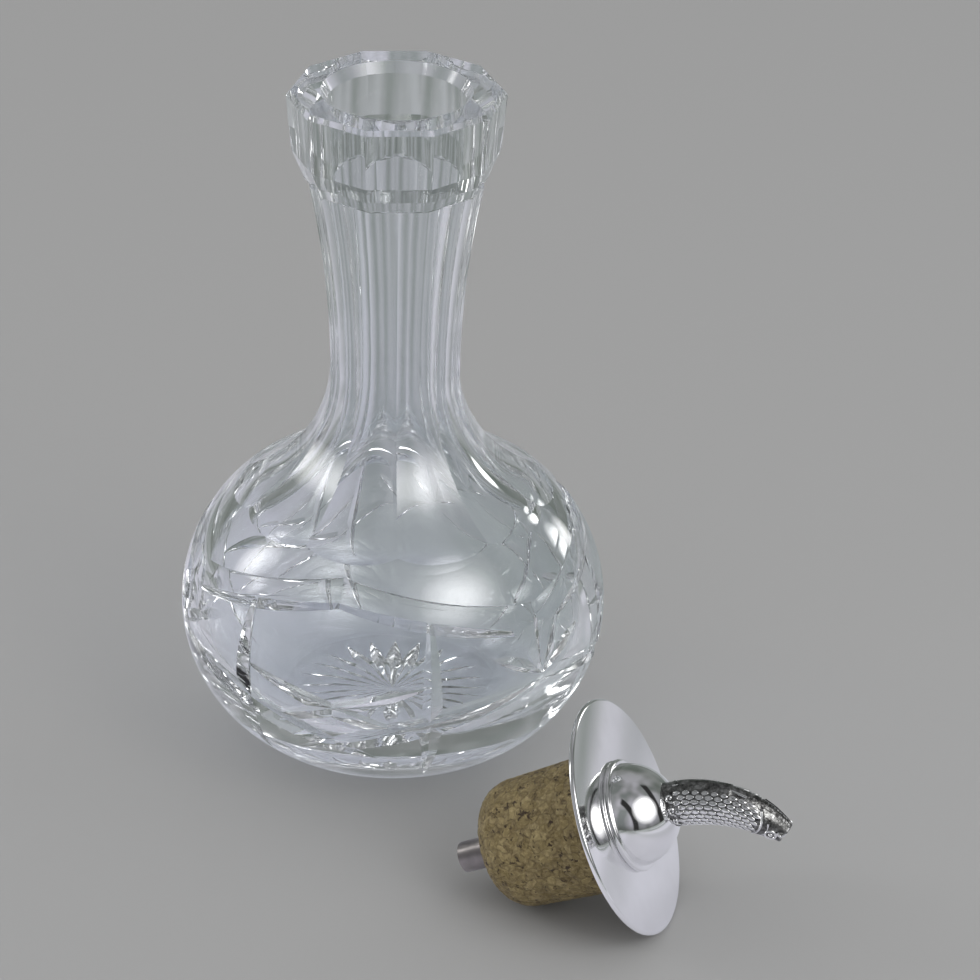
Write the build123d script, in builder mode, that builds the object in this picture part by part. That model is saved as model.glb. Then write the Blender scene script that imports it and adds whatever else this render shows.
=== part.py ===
from build123d import *
import os
from math import asin, atan2, cos, degrees, hypot, radians, sin, sqrt, tan

# A cut crystal decanter, standing on z = 0 with its neck up the Z axis, and the silver-mounted
# cork pourer that closes it, which lies beside it on the same surface. Sizes are in millimetres.

os.makedirs("parts", exist_ok=True)

# Glass, outside: a globe, a long waisted neck and a ten-sided collar
globe_radius = 42.4
globe_height = 28.0  # height of the widest place
foot_radius = 24.0
foot_round = 0.8
shoulder_curve = 31.9  # radius of the globe's upper half in section
waist_radius = 13.7
waist_height = 79.0
neck_top_radius = 17.8
collar_foot_height = 120.3
collar_foot_radius = 17.8
collar_edge_height = 125.8
collar_edge_radius = 20.1
rim_radius = 21.2
glass_height = 138.0
rim_bevel = 0.9

# Glass, inside
belly_wall = 4.8
floor_thickness = 9.0
floor_radius = 17.0
neck_bore_radius = 9.2
mouth_radius = 13.2
mouth_foot_height = 122.0
mouth_flare_height = 136.0
mouth_rim_radius = 14.6

# Cutting: angles in degrees round Z from the -Y front, positive towards +X
panel_count = 10
panel_turn = -15.0
panel_depth = 1.1
panel_width = 19.0
panel_clear = 12.0
panel_sweep = 80.0  # how far the wheel turns down over the shoulder
mitre_angle = 54.0  # half of the angle of the mitre wheel's edge
mitre_clear = 3.5
mitre_overrun = 2.0
group_count = 3
plain_centre = -15.0
plain_width = 54.0
pillar_low = 6.0
pillar_high = 46.0
pillar_depth = 1.5
chevron_high = 50.0
chevron_low = 42.5
chevron_depth = 1.2
swag_high = 27.0
swag_low = 13.0
swag_past = 12.0
swag_depth = 1.7
cross_high = 31.0
cross_low = 18.5
cross_depth = 1.2
fan_origin = 28.2
fan_reach = 13.5
fan_spread = (-62.0, -31.0, 0.0, 31.0, 62.0)
fan_depth = 0.9
star_rays = 16
star_eye = 3.0
star_radius = 20.5
star_depth = 1.2

# Stopper: z runs up its own axis from the underside of the silver disc
cork_length = 27.0
cork_top_radius = 13.6
cork_end_radius = 12.1
cork_round = 6.6
tube_radius = 3.0
tube_bore_radius = 1.9
tube_reach = 6.8  # how far the tube stands out of the cork
disc_radius = 22.8
disc_thickness = 1.1
disc_round = 0.5
step_width = 0.9  # how far the ring stands out round the dome
step_height = 1.3
step_round = 0.5
dome_radius = 9.9
dome_height = 8.8
dome_wall = 1.2
fish_curve = 22.5
fish_turn = 60.0
fish_root_sink = 1.6
fish_bore_radius = 1.3
fish_bore_run = 1.1  # share of the fish's length, so that the bore runs out of its mouth
fish_sections = ((0.0, 4.6, 3.9), (0.2, 4.7, 4.1), (0.5, 4.3, 3.9), (0.78, 3.5, 3.4), (1.0, 2.3, 2.4))
mouth_gape = 24.0  # degrees between the jaws
mouth_length = 3.6

# Where the stopper lies
stopper_x = 45.2
stopper_y = -70.3
stopper_heading = -13.8  # degrees from +X towards +Y

# Derived: the outside of the glass in section
foot_curve = ((globe_radius - foot_radius) ** 2 + globe_height**2) / (2 * (globe_radius - foot_radius))
foot_centre = globe_radius - foot_curve
shoulder_centre = globe_radius - shoulder_curve


def waist_curve(waist, centre, curve):
    """Radius of the hollow curve that leaves the neck upright and touches the globe."""
    rise = waist_height - globe_height
    return (rise**2 + (waist - centre) ** 2 - curve**2) / (2 * (curve + centre - waist))


def touch_point(hollow, waist, centre, curve):
    """Where that hollow curve touches the globe."""
    run = waist + hollow - centre
    rise = waist_height - globe_height
    share = curve / (curve + hollow)
    return (centre + run * share, globe_height + rise * share)


def rising_arc(radius, top_radius, height):
    """Radius of an arc that starts upright at the waist and ends at the given place."""
    out = top_radius - radius
    return (out**2 + height**2) / (2 * out)


outer_hollow = waist_curve(waist_radius, shoulder_centre, shoulder_curve)
outer_touch = touch_point(outer_hollow, waist_radius, shoulder_centre, shoulder_curve)
neck_curve = rising_arc(waist_radius, neck_top_radius, collar_foot_height - waist_height)

# Derived: the inside of the glass in section
belly_radius = globe_radius - belly_wall
inner_shoulder_curve = shoulder_curve - belly_wall
inner_hollow = waist_curve(neck_bore_radius, shoulder_centre, inner_shoulder_curve)
inner_touch = touch_point(inner_hollow, neck_bore_radius, shoulder_centre, inner_shoulder_curve)
inner_rise = globe_height - floor_thickness
inner_foot_curve = ((belly_radius - floor_radius) ** 2 + inner_rise**2) / (2 * (belly_radius - floor_radius))
inner_neck_curve = rising_arc(neck_bore_radius, mouth_radius, mouth_foot_height - waist_height)


def arc_point(centre, curve, place, share_place):
    """A point of the circle, on the ray halfway between two of its points."""
    x = (place[0] + share_place[0]) / 2 - centre[0]
    z = (place[1] + share_place[1]) / 2 - centre[1]
    reach = curve / hypot(x, z)
    return (centre[0] + x * reach, centre[1] + z * reach)


def globe_section(height):
    """Radius of the globe at a height, and the direction of its surface there."""
    centre = foot_centre if height < globe_height else shoulder_centre
    curve = foot_curve if height < globe_height else shoulder_curve
    rise = (height - globe_height) / curve
    return centre + curve * sqrt(1 - rise**2), sqrt(1 - rise**2), rise


def globe_point(turn, height, sink=0.0):
    """A point on the globe, or the given depth under its surface."""
    radius, out, up = globe_section(height)
    radius = radius - sink * out
    return Vector(radius * sin(radians(turn)), -radius * cos(radians(turn)), height - sink * up)


def globe_normal(turn, height):
    """The direction straight out of the globe's surface."""
    return globe_point(turn, height) - globe_point(turn, height, 1)


def mitre(start, middle, end, outside, clear=mitre_clear):
    """The wedge that a mitre wheel takes out as its edge goes through three points.

    The wedge opens to the outside, whichever way the path curves.
    """
    path = Edge.make_three_point_arc(start, middle, end)
    centre = path.arc_center
    radius = (start - centre).length
    normal = (start - centre).cross(end - centre).normalized()
    overrun = degrees(mitre_overrun / radius)
    first = (start - centre).rotate(Axis((0, 0, 0), normal), -overrun).normalized()
    turn = (start - centre).get_angle(end - centre) + 2 * overrun
    reach = clear if (middle - centre).dot(outside) > 0 else -clear
    half = clear * tan(radians(mitre_angle))
    with BuildPart() as wedge:
        with BuildSketch(Plane(origin=centre, x_dir=first, z_dir=first.cross(normal))):
            with BuildLine():
                Polyline((radius, 0), (radius + reach, -half), (radius + reach, half), close=True)
            make_face()
        revolve(axis=Axis(centre, normal), revolution_arc=turn)
    return wedge.part


def globe_mitre(start, end, depth):
    """A mitre cut between two places on the globe, deepest halfway."""
    middle = ((start[0] + end[0]) / 2, (start[1] + end[1]) / 2)
    return mitre(globe_point(*start), globe_point(*middle, depth), globe_point(*end), globe_normal(*middle))


def globe_cuts():
    """Every mitre on the globe: pillars, chevrons, swags, crosses and fans."""
    cuts = []
    fan_offset = 180 / group_count
    for group in range(group_count):
        plain = plain_centre + group * 360 / group_count
        for side in (-1, 1):
            fan = plain + side * fan_offset
            edge = plain + side * plain_width / 2
            cuts.append(globe_mitre((edge, pillar_low), (edge, pillar_high), pillar_depth))
            cuts.append(globe_mitre((plain, chevron_high), (fan, chevron_low), chevron_depth))
            cuts.append(globe_mitre((plain - side * swag_past, swag_low), (fan, swag_high), swag_depth))
            cross_ends = (plain - side * plain_width / 2, cross_low), (edge, cross_high)
            cuts.append(globe_mitre(*cross_ends, cross_depth))
        fan = plain + fan_offset
        for lean in fan_spread:
            reach_turn = degrees(fan_reach * sin(radians(lean)) / globe_radius)
            tip = (fan + reach_turn, fan_origin + fan_reach * cos(radians(lean)))
            cuts.append(globe_mitre((fan, fan_origin), tip, fan_depth))
    return cuts


def star_cuts():
    """The rays of the star under the foot."""
    cuts = []
    for ray in range(star_rays):
        turn = radians(ray * 360 / star_rays)
        out = Vector(cos(turn), sin(turn), 0)
        middle = out * ((star_eye + star_radius) / 2) + Vector(0, 0, star_depth)
        cuts.append(mitre(out * star_eye, middle, out * star_radius, Vector(0, 0, -1), star_depth * 2))
    return cuts


# The flat of a wide wheel, taken down the neck and over the shoulder to a round-ended tongue
with BuildPart() as panel_cut:
    face_place = waist_radius - panel_depth + panel_clear / 2
    with BuildSketch(Plane.XY.offset(waist_height)) as panel_face:
        with Locations((face_place, 0)):
            Rectangle(panel_clear, panel_width)
    shoulder_wheel = Axis((waist_radius + outer_hollow, 0, waist_height), (0, 1, 0))
    revolve(axis=shoulder_wheel, revolution_arc=-panel_sweep)
    neck_wheel = Axis((waist_radius + neck_curve, 0, waist_height), (0, 1, 0))
    neck_sweep = degrees(asin((collar_foot_height - waist_height) / neck_curve)) + 1
    revolve(panel_face.sketch, axis=neck_wheel, revolution_arc=neck_sweep)

with BuildPart() as decanter_body:
    foot_mid = arc_point(
        (foot_centre, globe_height), foot_curve, (foot_radius, 0), (globe_radius, globe_height)
    )
    shoulder_mid = arc_point(
        (shoulder_centre, globe_height), shoulder_curve, (globe_radius, globe_height), outer_touch
    )
    hollow_mid = arc_point(
        (waist_radius + outer_hollow, waist_height), outer_hollow, outer_touch, (waist_radius, waist_height)
    )
    with BuildSketch(Plane.XZ):
        with BuildLine():
            Polyline((0, collar_foot_height), (0, 0), (foot_radius, 0))
            ThreePointArc((foot_radius, 0), foot_mid, (globe_radius, globe_height))
            ThreePointArc((globe_radius, globe_height), shoulder_mid, outer_touch)
            ThreePointArc(outer_touch, hollow_mid, (waist_radius, waist_height))
            RadiusArc((waist_radius, waist_height), (neck_top_radius, collar_foot_height), -neck_curve)
            Line((neck_top_radius, collar_foot_height), (0, collar_foot_height))
        make_face()
    revolve(axis=Axis.Z)
    fillet(decanter_body.edges().group_by(Axis.Z)[0], foot_round)
    for panel in range(panel_count):
        turn = panel_turn - 90 + panel * 360 / panel_count
        add(panel_cut.part.rotate(Axis.Z, turn), mode=Mode.SUBTRACT)
    for cut in globe_cuts() + star_cuts():
        add(cut, mode=Mode.SUBTRACT)
    corner_turn = panel_turn - 90 + 180 / panel_count
    collar_plan = [
        (collar_foot_height, collar_foot_radius),
        (collar_edge_height, collar_edge_radius),
        (glass_height, rim_radius),
    ]
    for low, high in zip(collar_plan, collar_plan[1:]):
        for height, radius in (low, high):
            with BuildSketch(Plane.XY.offset(height)):
                RegularPolygon(radius, panel_count, rotation=corner_turn)
        loft(ruled=True)
    chamfer(decanter_body.edges().group_by(Axis.Z)[-1], rim_bevel)
    belly_place = (belly_radius, globe_height)
    bore_place = (neck_bore_radius, waist_height)
    inner_foot_mid = arc_point(
        (belly_radius - inner_foot_curve, globe_height),
        inner_foot_curve,
        (floor_radius, floor_thickness),
        belly_place,
    )
    inner_shoulder_mid = arc_point(
        (shoulder_centre, globe_height), inner_shoulder_curve, belly_place, inner_touch
    )
    inner_hollow_mid = arc_point(
        (neck_bore_radius + inner_hollow, waist_height), inner_hollow, inner_touch, bore_place
    )
    with BuildSketch(Plane.XZ):
        with BuildLine():
            Polyline((0, glass_height), (0, floor_thickness), (floor_radius, floor_thickness))
            ThreePointArc((floor_radius, floor_thickness), inner_foot_mid, belly_place)
            ThreePointArc(belly_place, inner_shoulder_mid, inner_touch)
            ThreePointArc(inner_touch, inner_hollow_mid, bore_place)
            RadiusArc(bore_place, (mouth_radius, mouth_foot_height), -inner_neck_curve)
            Polyline(
                (mouth_radius, mouth_foot_height),
                (mouth_radius, mouth_flare_height),
                (mouth_rim_radius, glass_height),
                (0, glass_height),
            )
        make_face()
    revolve(axis=Axis.Z, mode=Mode.SUBTRACT)
    # Chips that the wheels leave loose where cuts cross fall away
    add(decanter_body.part.solids().sort_by(SortBy.VOLUME)[-1], mode=Mode.REPLACE)
decanter_body.part.label = "decanter_body"
export_step(decanter_body.part, "parts/decanter_body.step")

# The stopper lies on the edge of its disc and the round end of its cork
cork_taper = atan2(cork_top_radius - cork_end_radius, cork_length)
round_height = cork_round - cork_length
round_side = cork_top_radius + round_height * tan(cork_taper)
round_place = round_side - cork_round / cos(cork_taper)
edge_height = disc_round
edge_place = disc_radius - disc_round
span_up = edge_height - round_height
span_out = edge_place - round_place
lean = atan2(span_out, span_up) - asin((cork_round - disc_round) / hypot(span_out, span_up))
rest_height = edge_place * cos(lean) + disc_round - edge_height * sin(lean)
heading = radians(stopper_heading)
stopper_up = Vector(cos(heading) * cos(lean), sin(heading) * cos(lean), sin(lean))
stopper_down = Vector(cos(heading) * sin(lean), sin(heading) * sin(lean), -cos(lean))
stopper_base = Plane(
    origin=(stopper_x, stopper_y, rest_height), x_dir=stopper_down, z_dir=stopper_up
)
stopper_side = Plane(
    origin=stopper_base.origin, x_dir=stopper_down, z_dir=stopper_down.cross(stopper_up)
)
stopper_axis = Axis(stopper_base.origin, stopper_up)
step_radius = dome_radius + step_width
dome_foot = disc_thickness + step_height
dome_top = dome_foot + dome_height
dome_curve = (dome_radius**2 + dome_height**2) / (2 * dome_height)
dome_centre = dome_top - dome_curve
tube_top = dome_centre + sqrt(dome_curve**2 - tube_radius**2)


def turned(points, plane=stopper_side):
    """The face inside a closed outline, on the plane that holds the stopper's axis."""
    with BuildSketch(plane) as outline:
        with BuildLine():
            Polyline(*points, close=True)
        make_face()
    return outline.sketch


with BuildPart() as cork:
    revolve(
        turned(
            [
                (tube_radius, 0),
                (cork_top_radius, 0),
                (cork_end_radius, -cork_length),
                (tube_radius, -cork_length),
            ]
        ),
        axis=stopper_axis,
    )
    end_circles = cork.edges().filter_by(GeomType.CIRCLE).group_by(stopper_axis)[0]
    fillet(end_circles.sort_by(SortBy.RADIUS)[-1], cork_round)
cork.part.label = "cork"
export_step(cork.part, "parts/cork.step")

with BuildPart() as pour_tube:
    with BuildSketch(stopper_base.offset(-cork_length - tube_reach)):
        Circle(tube_radius)
        Circle(tube_bore_radius, mode=Mode.SUBTRACT)
    extrude(amount=cork_length + tube_reach + tube_top)
pour_tube.part.label = "pour_tube"
export_step(pour_tube.part, "parts/pour_tube.step")

with BuildPart() as flange_disc:
    with BuildSketch(stopper_base):
        Circle(disc_radius)
        Circle(tube_radius, mode=Mode.SUBTRACT)
    extrude(amount=disc_thickness)
    fillet(flange_disc.edges().filter_by(GeomType.CIRCLE).sort_by(SortBy.RADIUS)[-2:], disc_round)
flange_disc.part.label = "flange_disc"
export_step(flange_disc.part, "parts/flange_disc.step")

with BuildPart() as step_ring:
    with BuildSketch(stopper_base.offset(disc_thickness)):
        Circle(step_radius)
        Circle(dome_radius - dome_wall, mode=Mode.SUBTRACT)
    extrude(amount=step_height)
    fillet(step_ring.edges().filter_by(GeomType.CIRCLE).sort_by(SortBy.RADIUS)[-2:], step_round)
step_ring.part.label = "step_ring"
export_step(step_ring.part, "parts/step_ring.step")

with BuildPart() as dome:
    for curve, mode in ((dome_curve, Mode.ADD), (dome_curve - dome_wall, Mode.SUBTRACT)):
        with Locations(stopper_base.offset(dome_centre)):
            Sphere(curve, mode=mode)
    split(bisect_by=stopper_base.offset(dome_foot), keep=Keep.TOP)
    with BuildSketch(stopper_base.offset(dome_foot)):
        Circle(tube_radius)
    extrude(amount=dome_height, mode=Mode.SUBTRACT)
dome.part.label = "dome"
export_step(dome.part, "parts/dome.step")


def fish_plane(share):
    """The plane across the fish at a share of its length, with x towards its belly."""
    turn = radians(fish_turn * share)
    height = dome_top - fish_root_sink + fish_curve * sin(turn)
    side = fish_curve * (1 - cos(turn))
    origin = stopper_base.from_local_coords(Vector(side, 0, height))
    along = stopper_up * cos(turn) + stopper_down * sin(turn)
    across = stopper_down * cos(turn) - stopper_up * sin(turn)
    return Plane(origin=origin, x_dir=across, z_dir=along)


# The fish is cast round a bent bore and opens at its mouth
with BuildPart() as fish_spout:
    for share, half_height, half_width in fish_sections:
        with BuildSketch(fish_plane(share)):
            Ellipse(half_height, half_width)
    loft()
    with Locations(stopper_base.offset(dome_centre)):
        Sphere(dome_curve, mode=Mode.SUBTRACT)
    with BuildLine() as bore_path:
        ThreePointArc(*(fish_plane(share).origin for share in (0, fish_bore_run / 2, fish_bore_run)))
    with BuildSketch(fish_plane(0)):
        Circle(fish_bore_radius)
    sweep(path=bore_path.line, mode=Mode.SUBTRACT)
    jaw_corner = fish_plane(1 - degrees(mouth_length / fish_curve) / fish_turn)
    jaw_reach = 2 * mouth_length
    jaw_half = jaw_reach * tan(radians(mouth_gape / 2))
    with BuildSketch(Plane(origin=jaw_corner.origin, x_dir=jaw_corner.z_dir, z_dir=jaw_corner.y_dir)):
        with BuildLine():
            Polyline((0, 0), (jaw_reach, jaw_half), (jaw_reach, -jaw_half), close=True)
        make_face()
    extrude(amount=jaw_reach, both=True, mode=Mode.SUBTRACT)
fish_spout.part.label = "fish_spout"
export_step(fish_spout.part, "parts/fish_spout.step")
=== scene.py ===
import math

import bpy
from mathutils import Matrix, Vector


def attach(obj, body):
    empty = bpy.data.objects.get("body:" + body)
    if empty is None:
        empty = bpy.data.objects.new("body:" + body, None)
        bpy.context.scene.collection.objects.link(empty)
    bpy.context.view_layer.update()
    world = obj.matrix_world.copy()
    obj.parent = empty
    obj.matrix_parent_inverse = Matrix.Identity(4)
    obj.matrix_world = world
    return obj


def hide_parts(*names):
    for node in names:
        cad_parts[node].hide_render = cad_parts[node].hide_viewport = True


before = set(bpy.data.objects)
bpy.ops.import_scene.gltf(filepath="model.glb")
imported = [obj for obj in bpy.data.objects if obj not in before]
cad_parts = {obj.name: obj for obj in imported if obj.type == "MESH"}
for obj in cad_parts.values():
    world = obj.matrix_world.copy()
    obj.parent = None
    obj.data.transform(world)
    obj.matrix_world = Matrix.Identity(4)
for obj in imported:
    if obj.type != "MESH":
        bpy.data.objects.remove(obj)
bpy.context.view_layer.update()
scene = bpy.context.scene


# ---- working helpers: selection, placing, turning on the lathe, cutting

def freshStart():
    if bpy.context.object and bpy.context.object.mode == "EDIT":
        bpy.ops.object.mode_set(mode="OBJECT")
    bpy.ops.object.select_all(action="DESELECT")


def only(piece):
    freshStart()
    piece.select_set(True)
    bpy.context.view_layer.objects.active = piece


def applyPlace(piece):
    only(piece)
    bpy.ops.object.transform_apply(location=True, rotation=True, scale=True)


def editAll(piece):
    only(piece)
    bpy.ops.object.mode_set(mode="EDIT")
    bpy.ops.mesh.select_all(action="SELECT")


def closeUp(piece):
    editAll(piece)
    bpy.ops.mesh.remove_doubles(threshold=1e-6)
    bpy.ops.mesh.normals_make_consistent(inside=False)
    bpy.ops.object.mode_set(mode="OBJECT")


def lathe(name, outline, steps):
    # outline is a list of (radius, height); the piece is turned round Z
    freshStart()
    startRadius, startHeight = outline[0]
    bpy.ops.mesh.primitive_plane_add(size=0.0001, location=(startRadius, 0, startHeight))
    piece = bpy.context.object
    piece.name = name
    applyPlace(piece)
    editAll(piece)
    bpy.ops.mesh.merge(type="CENTER")
    for (radius, height), (nextRadius, nextHeight) in zip(outline, outline[1:]):
        step = (nextRadius - radius, 0, nextHeight - height)
        bpy.ops.mesh.extrude_region_move(TRANSFORM_OT_translate={"value": step})
    bpy.ops.mesh.select_all(action="SELECT")
    bpy.ops.mesh.spin(steps=steps, angle=2 * math.pi, center=(0, 0, 0), axis=(0, 0, 1))
    bpy.ops.object.mode_set(mode="OBJECT")
    closeUp(piece)
    return piece


def cutWith(piece, tool, operation="DIFFERENCE"):
    only(piece)
    step = piece.modifiers.new("cut", "BOOLEAN")
    step.operation = operation
    step.solver = "MANIFOLD"
    step.object = tool
    bpy.ops.object.modifier_apply(modifier=step.name)
    bpy.data.objects.remove(tool, do_unlink=True)


def smooth(piece, angle):
    only(piece)
    bpy.ops.object.shade_smooth_by_angle(angle=math.radians(angle))


def arcPoints(centre, curve, startAngle, endAngle, stepAngle=2.0):
    count = max(2, math.ceil(abs(endAngle - startAngle) / stepAngle))
    points = []
    for i in range(count + 1):
        angle = math.radians(startAngle + (endAngle - startAngle) * i / count)
        points.append((centre[0] + curve * math.cos(angle), centre[1] + curve * math.sin(angle)))
    return points


# ---- crystal decanter: blown shape

glass = {
    "globeRadius": 0.0424, "globeHeight": 0.028, "footRadius": 0.024, "footRound": 0.0008,
    "shoulderCurve": 0.0319, "waistRadius": 0.0137, "waistHeight": 0.079, "neckTopRadius": 0.0178,
    "collarFootHeight": 0.1203, "collarFootRadius": 0.0178, "collarEdgeHeight": 0.1258,
    "collarEdgeRadius": 0.0201, "rimRadius": 0.0212, "height": 0.138, "rimBevel": 0.0009,
    "bellyWall": 0.0048, "floorThickness": 0.009, "floorRadius": 0.017, "boreRadius": 0.0092,
    "mouthRadius": 0.0132, "mouthFootHeight": 0.122, "mouthFlareHeight": 0.136, "mouthRimRadius": 0.0146,
    "steps": 160,
}


def lowerCurve(belly, foot, floor):
    # radius of the arc that leaves the widest place upright and ends at the foot
    rise = glass["globeHeight"] - floor
    return ((belly - foot) ** 2 + rise**2) / (2 * (belly - foot))


def hollowCurve(waist, centre, curve):
    rise = glass["waistHeight"] - glass["globeHeight"]
    return (rise**2 + (waist - centre) ** 2 - curve**2) / (2 * (curve + centre - waist))


def risingArc(radius, topRadius, height):
    out = topRadius - radius
    return (out**2 + height**2) / (2 * out)


footCurve = lowerCurve(glass["globeRadius"], glass["footRadius"], 0)
shoulderCentre = glass["globeRadius"] - glass["shoulderCurve"]
outerHollow = hollowCurve(glass["waistRadius"], shoulderCentre, glass["shoulderCurve"])
neckHeight = glass["collarFootHeight"] - glass["waistHeight"]
neckCurve = risingArc(glass["waistRadius"], glass["neckTopRadius"], neckHeight)


def vesselOutline(belly, foot, floor, shoulder, waist, topRadius, topHeight):
    low = lowerCurve(belly, foot, floor)
    lowTurn = math.degrees(math.asin((floor - glass["globeHeight"]) / low))
    outline = arcPoints((belly - low, glass["globeHeight"]), low, lowTurn, 0)
    hollow = hollowCurve(waist, shoulderCentre, shoulder)
    waistPlace = (waist + hollow, glass["waistHeight"])
    rise = glass["waistHeight"] - glass["globeHeight"]
    lean = math.degrees(math.atan2(rise, waistPlace[0] - shoulderCentre))
    outline += arcPoints((shoulderCentre, glass["globeHeight"]), shoulder, 0, lean)[1:]
    outline += arcPoints(waistPlace, hollow, 180 + lean, 180)[1:]
    neck = risingArc(waist, topRadius, topHeight - glass["waistHeight"])
    turn = math.degrees(math.asin((topHeight - glass["waistHeight"]) / neck))
    outline += arcPoints((waist + neck, glass["waistHeight"]), neck, 180, 180 - turn, 1)[1:]
    return outline


outline = vesselOutline(
    glass["globeRadius"], glass["footRadius"], 0, glass["shoulderCurve"],
    glass["waistRadius"], glass["neckTopRadius"], glass["collarFootHeight"],
)
footEdge = [(glass["footRadius"] - glass["footRound"], 0), (glass["footRadius"] + 0.0001, 0.0003)]
outline = [(0, 0)] + footEdge + outline[1:] + [(0, glass["collarFootHeight"])]
decanter = lathe("decanter_glass", outline, glass["steps"])
print("blown shape done:", len(decanter.data.polygons), "faces")


# ---- neck: ten flats from a wide wheel, down over the shoulder to round-ended tongues

panels = {"count": 10, "turn": -15, "depth": 0.0011, "width": 0.019, "clear": 0.012, "sweep": 80}


def wheelSweep(curve, angle, steps):
    freshStart()
    place = glass["waistRadius"] - panels["depth"] + panels["clear"] / 2
    bpy.ops.mesh.primitive_plane_add(size=1, location=(place, 0, glass["waistHeight"]))
    wheel = bpy.context.object
    wheel.name = "panelWheel"
    wheel.scale = (panels["clear"], panels["width"], 1)
    applyPlace(wheel)
    editAll(wheel)
    axisPlace = (glass["waistRadius"] + curve, 0, glass["waistHeight"])
    bpy.ops.mesh.spin(steps=steps, angle=math.radians(angle), center=axisPlace, axis=(0, 1, 0))
    bpy.ops.object.mode_set(mode="OBJECT")
    closeUp(wheel)
    return wheel


neckSweep = math.degrees(math.asin(neckHeight / neckCurve)) + 1
for panel in range(panels["count"]):
    for curve, angle, steps in ((outerHollow, panels["sweep"], 40), (neckCurve, -neckSweep, 12)):
        wheel = wheelSweep(curve, angle, steps)
        turn = panels["turn"] - 90 + panel * 360 / panels["count"]
        wheel.rotation_euler = (0, 0, math.radians(turn))
        applyPlace(wheel)
        cutWith(decanter, wheel)
print("neck panels done:", len(decanter.data.polygons), "faces")


# ---- globe: mitres from a V-edged wheel

# pillar to cross: a cut's heights at its two ends and its depth; turns in degrees from the front
mitres = {
    "angle": 54, "clear": 0.0035, "overrun": 0.002, "steps": 28,
    "groups": 3, "plainCentre": -15, "plainWidth": 54,
    "pillar": (0.006, 0.046, 0.0015), "chevron": (0.050, 0.0425, 0.0012),
    "swag": (0.027, 0.013, 0.0017), "swagPast": 12, "swagDepths": (1, 0.5, 0.5),
    "cross": (0.031, 0.0185, 0.0012),
    "fanOrigin": 0.0282, "fanReach": 0.0135, "fanSpread": (-62, -31, 0, 31, 62), "fanDepth": 0.0009,
    "starRays": 24, "starEye": 0.0006, "starRadius": 0.0205, "starDepth": 0.0012,
}


def globePoint(turn, height, sink=0.0):
    centre = glass["globeRadius"] - footCurve if height < glass["globeHeight"] else shoulderCentre
    curve = footCurve if height < glass["globeHeight"] else glass["shoulderCurve"]
    up = (height - glass["globeHeight"]) / curve
    out = math.sqrt(1 - up**2)
    radius = centre + (curve - sink) * out
    turn = math.radians(turn)
    return Vector((radius * math.sin(turn), -radius * math.cos(turn), height - sink * up))


def mitre(start, middle, end, outside, clear):
    # a three-cornered blade swept along the arc through three points, open to the outside
    chord, toMiddle = end - start, middle - start
    normal = chord.cross(toMiddle)
    inward = toMiddle.length_squared * normal.cross(chord) + chord.length_squared * toMiddle.cross(normal)
    centre = start + inward / (2 * normal.length_squared)
    radius = (start - centre).length
    axis = (start - centre).cross(end - centre).normalized()
    overrun = mitres["overrun"] / radius
    first = Matrix.Rotation(-overrun, 3, axis) @ (start - centre).normalized()
    sweep = (start - centre).angle(end - centre) + 2 * overrun
    opening = 1 if (middle - centre).dot(outside) > 0 else -1
    blade = clear / 1.5
    stretch = 1.5 * math.tan(math.radians(mitres["angle"])) / math.cos(math.radians(30))
    toEdge = -opening * first
    place = centre + first * radius - toEdge * blade
    side = axis
    up = side.cross(toEdge)
    freshStart()
    bpy.ops.mesh.primitive_circle_add(vertices=3, radius=blade, fill_type="NGON")
    wedge = bpy.context.object
    wedge.name = "mitreWheel"
    turn = Matrix((side, toEdge, up)).transposed().to_4x4()
    wedge.matrix_world = Matrix.Translation(place) @ turn @ Matrix.Diagonal((stretch, 1, 1, 1))
    applyPlace(wedge)
    editAll(wedge)
    bpy.ops.mesh.spin(steps=mitres["steps"], angle=-sweep, center=centre, axis=axis)
    bpy.ops.object.mode_set(mode="OBJECT")
    closeUp(wedge)
    return wedge


def globeMitre(start, end, depth):
    middle = ((start[0] + end[0]) / 2, (start[1] + end[1]) / 2)
    outside = globePoint(*middle) - globePoint(*middle, 0.001)
    wedge = mitre(globePoint(*start), globePoint(*middle, depth), globePoint(*end), outside, mitres["clear"])
    cutWith(decanter, wedge)


for group in range(mitres["groups"]):
    plain = mitres["plainCentre"] + group * 360 / mitres["groups"]
    fanOffset = 180 / mitres["groups"]
    for side in (-1, 1):
        fan = plain + side * fanOffset
        edge = plain + side * mitres["plainWidth"] / 2
        low, high, depth = mitres["pillar"]
        globeMitre((edge, low), (edge, high), depth)
        high, low, depth = mitres["chevron"]
        globeMitre((plain, high), (fan, low), depth)
        high, low, depth = mitres["swag"]
        depth *= mitres["swagDepths"][group]
        globeMitre((plain - side * mitres["swagPast"], low), (fan, high), depth)
        high, low, depth = mitres["cross"]
        globeMitre((plain - side * mitres["plainWidth"] / 2, low), (edge, high), depth)
    fan = plain + fanOffset
    for lean in mitres["fanSpread"]:
        lean = math.radians(lean)
        turn = math.degrees(mitres["fanReach"] * math.sin(lean) / glass["globeRadius"])
        tip = (fan + turn, mitres["fanOrigin"] + mitres["fanReach"] * math.cos(lean))
        globeMitre((fan, mitres["fanOrigin"]), tip, mitres["fanDepth"])
for ray in range(mitres["starRays"]):
    turn = 2 * math.pi * ray / mitres["starRays"]
    out = Vector((math.cos(turn), math.sin(turn), 0))
    start, end = out * mitres["starEye"], out * mitres["starRadius"]
    middle = out * (mitres["starEye"] + mitres["starRadius"]) / 2 + Vector((0, 0, mitres["starDepth"]))
    wedge = mitre(start, middle, end, Vector((0, 0, -1)), mitres["starDepth"] * 2)
    cutWith(decanter, wedge)
print("globe and foot mitres done:", len(decanter.data.polygons), "faces")


# ---- collar: ten-sided, flared, with a bevelled rim

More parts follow.
